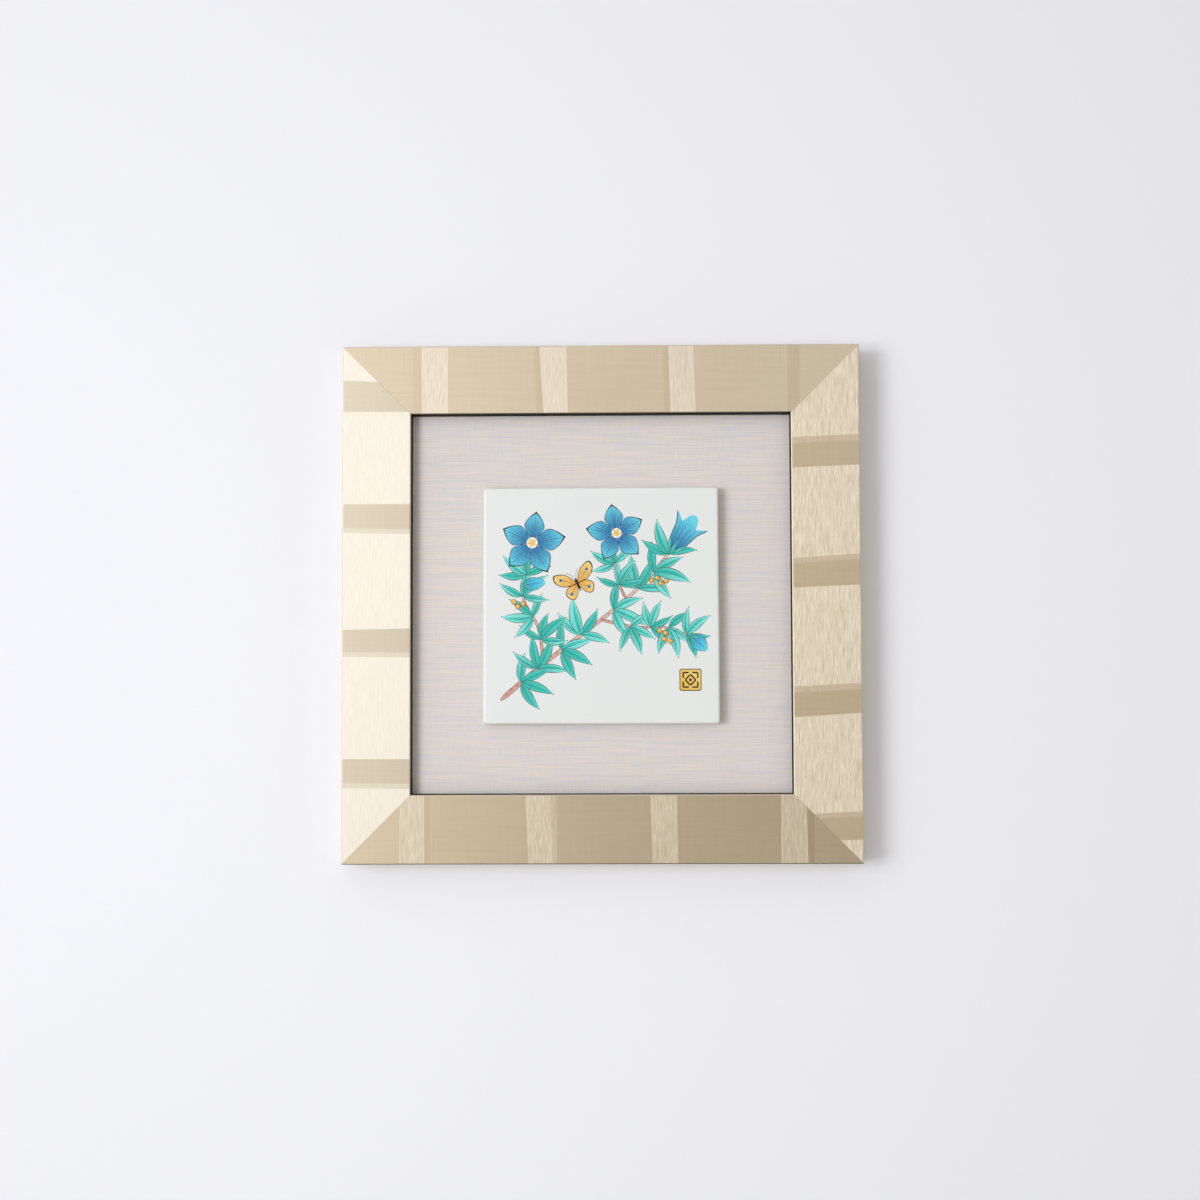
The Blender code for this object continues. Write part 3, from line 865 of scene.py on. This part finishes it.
def make_plaque():
    """The slab: a flat front cut up along the painting, a soft rim, its sides and its back."""
    noise.seed_set(SEED)
    painting = paint_spray()
    border = rounded_loop(RIM[0][0])
    outlines = [border] + [shape[0] for shape in painting.shapes]
    points = [point for outline in outlines for point in outline]
    faces = []
    first = 0
    for outline in outlines:
        faces.append(list(range(first, first + len(outline))))
        first += len(outline)
    spots, _, triangles, sources, _, owners = delaunay_2d_cdt(points, [], faces, 1, 1e-4)

    verts = [(spot, 0.0) for spot in spots]
    ring = [None] * len(border)
    for index, source in enumerate(sources):
        for old in source:
            if old < len(border):
                ring[old] = index
    corners = []
    kinds = []
    for triangle, owner in zip(triangles, owners):
        if owner:
            corners.append(list(triangle))
            kinds.append(max(owner))
    flat_count = len(corners)
    for inset, depth in RIM[1:] + (WALL_END, BACK_EDGE):
        loop = rounded_loop(inset)
        base = len(verts)
        verts += [(point, depth) for point in loop]
        count = len(loop)
        for i in range(count):
            j = (i + 1) % count
            corners.append([ring[j], ring[i], base + i, base + j])
            kinds.append(0)
        ring = list(range(base, base + count))
    corners.append(ring[::-1])
    kinds.append(0)

    mesh = bpy.data.meshes.new("painted_plaque")
    middle = CENTRE - Vector((0, 0, PLAQUE_DROP))
    places = []
    for point, depth in verts:
        spot = hand_made(point)
        places.append((middle.x + spot.x / 1000, PLAQUE_FRONT_Y + depth / 1000, middle.z + spot.y / 1000))
    mesh.from_pydata(places, [], corners)
    mesh.color_attributes.new("paint", "FLOAT_COLOR", "CORNER")
    mesh.attributes.new("gilt", "FLOAT", "CORNER")
    mesh.uv_layers.new(name="OFBake")
    paint = mesh.attributes["paint"]
    gilt = mesh.attributes["gilt"]
    bake = mesh.uv_layers["OFBake"]
    side_start = flat_count + (len(RIM) - 1) * len(border)
    for polygon, kind in zip(mesh.polygons, kinds):
        polygon.use_smooth = flat_count <= polygon.index < len(kinds) - 1
        shape = painting.shapes[kind - 1] if kind else None
        for loop in polygon.loop_indices:
            vertex = mesh.loops[loop].vertex_index
            point, depth = verts[vertex]
            paint.data[loop].color = colour_at(shape, point) if shape else (0.8, 0.8, 0.8, 0.0)
            gilt.data[loop].value = shape[5] if shape else 0.0
            bake.data[loop].uv = bake_place(polygon.index - side_start, len(border), point, depth)
    mesh.materials.append(LOOKS["glaze"])
    plaque = collection_object("painted_plaque", mesh)
    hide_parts("plaque")
    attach(plaque, "root")


def bake_place(side_index, count, point, depth):
    """The front fills most of the bake, the sides lie in strips above it and the back in a corner."""
    u = point.x / PLAQUE_SIDE + 0.5
    v = point.y / PLAQUE_SIDE + 0.5
    if side_index < 0:
        return (0.01 + 0.89 * u, 0.01 + 0.89 * v)
    if side_index >= 2 * count:
        return (0.92 + 0.07 * u, 0.01 + 0.07 * v)
    turn = (math.atan2(point.y, point.x) / math.tau) % 1.0
    if side_index % count == count - 1 and turn < 0.25:
        turn += 1.0
    return (0.01 + 0.95 * turn / 1.1, 0.92 + 0.06 * depth / 8)


def glaze():
    """Glossy white glaze, faintly green, with enamel colours and gilding on it."""
    look = new_look("glaze")
    x, y, z = look.place()
    paint = look.node("ShaderNodeAttribute", {"attribute_name": "paint"}, {}).outputs
    painted = Number(look, paint["Alpha"])
    gilt = look.number("ShaderNodeAttribute", {"attribute_name": "gilt"}, {}, "Fac")
    cloud = look.mottle(x / 45, y / 45, z / 45)
    specks = look.mottle(x / 0.5, y / 0.5, z / 0.5, 2.0, 0.6).rises(0.74, 0.82)
    wash = look.mottle(x / 2.2, y / 2.2, z / 2.2, 3.0, 0.55)
    body = look.blend(cloud, tint(227, 230, 227), tint(231, 233, 230))
    body = look.blend(specks * 0.12, body, tint(190, 188, 180))
    doubled = look.blend(1.0, paint["Color"], paint["Color"], "MULTIPLY")
    pooled = look.blend((wash - 0.5) * 0.9 + 0.2, paint["Color"], doubled)
    colour = look.blend(painted, body, look.blend(gilt, pooled, paint["Color"]))
    waves = look.mottle(x / 14, y / 14, z / 14)
    surface = look.surface(
        base_color=colour,
        metallic=gilt * 0.55,
        roughness=wash * 0.1 * painted + gilt * 0.2 + 0.09,
        ior=1.5,
        normal=look.relief(waves, 0.0002, 0.15),
    )
    return look.finish(surface)


# Cloth, board and steel

def ribbed_cloth():
    """Silk-like cloth with a fine level rib, woven of grey-lilac and peach threads."""
    look = new_look("ribbed_cloth")
    x, y, z = look.place()
    row = z + (look.mottle(x / 60, 0.0, z / 9) - 0.5) * 0.2
    threads = look.mottle(x / 38, y / 5, row / 0.5, 3.0, 0.6)
    hues = look.mottle(x / 26, y / 5, row / 0.8 + 40, 2.0, 0.6)
    uprights = look.mottle(x / 0.7, y / 5, z / 9, 2.0)
    slubs = look.mottle(x / 14, y / 5, row / 0.45, 2.0, 0.6).rises(0.6, 0.8)
    share = (threads - 0.5) * 2.5 + (uprights - 0.5) * 0.6 + 0.5
    shades = [(0.2, tint(210, 206, 206)), (0.5, tint(220, 213, 208)), (0.8, tint(229, 218, 208))]
    colour = look.node("ShaderNodeValToRGB", {"stops": shades}, {0: share}).outputs[0]
    colour = look.blend(hues.rises(0.5, 0.75) * 0.5, colour, tint(226, 215, 192))
    colour = look.blend(hues.rises(0.5, 0.25) * 0.5, colour, tint(210, 210, 220))
    colour = look.blend(slubs * 0.3, colour, tint(236, 228, 216))
    rib = look.number("ShaderNodeMath", {"operation": "SINE"}, {0: row * (math.tau / 0.36)})
    warp = look.number("ShaderNodeMath", {"operation": "SINE"}, {0: x * (math.tau / 0.3)})
    weave = rib * 0.35 + warp * 0.15 + threads * 0.8 + slubs * 0.3
    # Painted shade: the rib's grooves are a little darker.
    colour = look.blend((0.5 - rib * 0.5) * 0.08, colour, tint(160, 150, 148))
    surface = look.surface(
        base_color=colour,
        roughness=0.72 - slubs * 0.1,
        sheen_weight=0.15,
        sheen_roughness=0.4,
        normal=look.relief(weave, 0.00005, 0.6),
    )
    return look.finish(surface)


def hardboard():
    """Brown pressed fibreboard."""
    look = new_look("hardboard")
    x, y, z = look.place()
    fibres = look.mottle(x / 1.2, y / 1.2, z / 0.5, 4.0, 0.65, 1.5)
    clouds = look.mottle(x / 40, y / 40, z / 40, 3.0)
    colour = look.blend(clouds * 0.5 + fibres * 0.5, tint(116, 82, 58), tint(158, 120, 88))
    colour = look.blend(fibres.rises(0.6, 0.8) * 0.5, colour, tint(184, 150, 112))
    relief = look.relief(fibres, 0.00006)
    return look.finish(look.surface(base_color=colour, roughness=fibres * 0.2 + 0.5, normal=relief))


def zinc():
    """Zinc-plated steel, a little scratched and clouded."""
    look = new_look("zinc_steel")
    x, y, z = look.place()
    spangle = look.mottle(x / 3, y / 3, z / 3, 3.0)
    scratches = look.mottle(x / 9, y / 9, z / 0.12, 2.0).rises(0.6, 0.75)
    colour = look.blend(spangle, tint(188, 190, 194), tint(214, 214, 212))
    colour = look.blend(scratches * 0.3, colour, tint(236, 236, 236))
    roughness = spangle * 0.16 + scratches * 0.12 + 0.24
    relief = look.relief(scratches, 0.00001)
    return look.finish(look.surface(base_color=colour, metallic=1.0, roughness=roughness, normal=relief))


LOOKS = {
    "black_edge": black_edge(),
    "glaze": glaze(),
    "cloth": ribbed_cloth(),
    "hardboard": hardboard(),
    "zinc": zinc(),
}


def dress_solid(name, material):
    """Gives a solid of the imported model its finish."""
    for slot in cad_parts[name].material_slots:
        slot.material = material


# Studio

WALL_Y = 0.0005
WALL_SIZE = 8.0
FLOOR_Z = -1.1

# The softbox lights what is matt, and the foil and the glaze mirror a large window beside it.
# A light has its place, its size, its power in watts and its colour.
SOFTBOX = ((-1.56, -2.08, -0.17), (1.05, 1.05), 6.45, (0.93, 0.955, 1.0))
SOFTBOX_SPREAD = 76
MIRRORED_WINDOW = ((-1.67, -1.99, -0.1), (3.0, 2.4), 30.0, (0.97, 0.98, 1.0))
AIR_COLOUR = (1.0, 0.965, 0.905, 1.0)
AIR_STRENGTH = 0.52
WINDOW_WAY = Vector((-0.62, -1.0, 0.45))
WINDOW_COLOUR = (0.96, 0.985, 1.06, 1.0)
WINDOW_STRENGTH = 0.6


def wall_paint():
    """Matt white paint. From behind it is clear, so that the frame's back can be seen."""
    look = new_look("wall_paint")
    x, y, z = look.place()
    skin = look.mottle(x / 2.5, y / 2.5, z / 2.5, 3.0, 0.6)
    colour = look.blend(skin, tint(238, 238, 242), tint(240, 240, 243))
    paint = look.surface(base_color=colour, roughness=0.9, normal=look.relief(skin, 0.00003, 0.3))
    clear = look.node("ShaderNodeBsdfTransparent", {}, {}).outputs[0]
    behind = look.node("ShaderNodeNewGeometry", {}, {}).outputs["Backfacing"]
    return look.finish(look.node("ShaderNodeMixShader", {}, {0: behind, 1: paint, 2: clear}).outputs[0])


def floor_paint():
    look = new_look("floor_paint")
    x, y, z = look.place()
    skin = look.mottle(x / 40, y / 40, z / 40, 3.0)
    colour = look.blend(skin, tint(232, 231, 230), tint(238, 237, 235))
    return look.finish(look.surface(base_color=colour, roughness=0.8))


def sheet(name, corners, material):
    mesh = bpy.data.meshes.new(name)
    mesh.from_pydata(corners, [], [(0, 1, 2, 3)])
    mesh.materials.append(material)
    thing = collection_object(name, mesh)
    return thing


def make_studio():
    """A white wall behind the frame, a pale floor far below, soft light from the left and pale air."""
    half = WALL_SIZE / 2
    square = ((-1, -1), (1, -1), (1, 1), (-1, 1))
    wall_corners = [(x * half, WALL_Y, half if y > 0 else FLOOR_Z) for x, y in square]
    wall = sheet("wall", wall_corners, wall_paint())
    wall.visible_diffuse = False
    wall.visible_glossy = False
    wall.visible_shadow = False
    sheet("floor", [(x * half, y * half, FLOOR_Z) for x, y in square], floor_paint())
    softbox = soft_light("side_softbox", *SOFTBOX)
    softbox.data.spread = math.radians(SOFTBOX_SPREAD)
    softbox.visible_glossy = False
    mirrored = soft_light("mirrored_window", *MIRRORED_WINDOW)
    mirrored.visible_diffuse = False
    surroundings()


def soft_light(name, place, size, power, colour):
    lamp = bpy.data.lights.new(name, "AREA")
    lamp.shape = "RECTANGLE"
    lamp.size, lamp.size_y = size
    lamp.energy = power
    lamp.color = colour
    thing = bpy.data.objects.new(name, lamp)
    bpy.context.scene.collection.objects.link(thing)
    thing.location = place
    thing.rotation_euler = (CENTRE - Vector(place)).to_track_quat("-Z", "Y").to_euler()
    return thing


def surroundings():
    """Pale warm air, and the cooler light of a large window on the left in front."""
    look = Look(bpy.data.worlds.new("studio_air"))
    way = look.node("ShaderNodeTexCoord", {}, {}).outputs["Generated"]
    sides = {0: way, 1: WINDOW_WAY.normalized()}
    facing = look.number("ShaderNodeVectorMath", {"operation": "DOT_PRODUCT"}, sides, "Value")
    window = facing.rises(0.68, 1.0)
    colour = look.blend(window, AIR_COLOUR, WINDOW_COLOUR)
    strength = window * WINDOW_STRENGTH + AIR_STRENGTH
    air = look.node("ShaderNodeBackground", {}, {"Color": colour, "Strength": strength}).outputs[0]
    bpy.context.scene.world = look.finish(air)


def make_camera():
    camera = bpy.data.cameras.new("camera")
    camera.sensor_width = 36
    camera.lens = CAMERA_FOCAL
    thing = bpy.data.objects.new("camera", camera)
    bpy.context.scene.collection.objects.link(thing)
    turn = Matrix.Rotation(math.radians(CAMERA_YAW), 4, "Z")
    turn = turn @ Matrix.Rotation(math.radians(CAMERA_PITCH), 4, "X")
    turn = turn @ Matrix.Rotation(-math.radians(CAMERA_ROLL), 4, "Y")
    turn = turn @ Matrix.Rotation(math.radians(90), 4, "X")
    front = CENTRE - Vector((0, FRAME_DEPTH, 0))
    thing.matrix_world = Matrix.Translation(front + CAMERA_OFFSET) @ turn
    bpy.context.scene.camera = thing


def main():
    make_camera()
    make_studio()
    for rail in RAIL_TURNS:
        dress_rail(rail)
    make_plaque()
    dress_solid("mat_panel", LOOKS["cloth"])
    dress_solid("back_board", LOOKS["hardboard"])
    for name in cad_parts:
        if name.startswith(("backing_tab", "hanger")):
            dress_solid(name, LOOKS["zinc"])
    bpy.context.scene.view_settings.view_transform = "Standard"
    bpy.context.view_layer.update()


main()
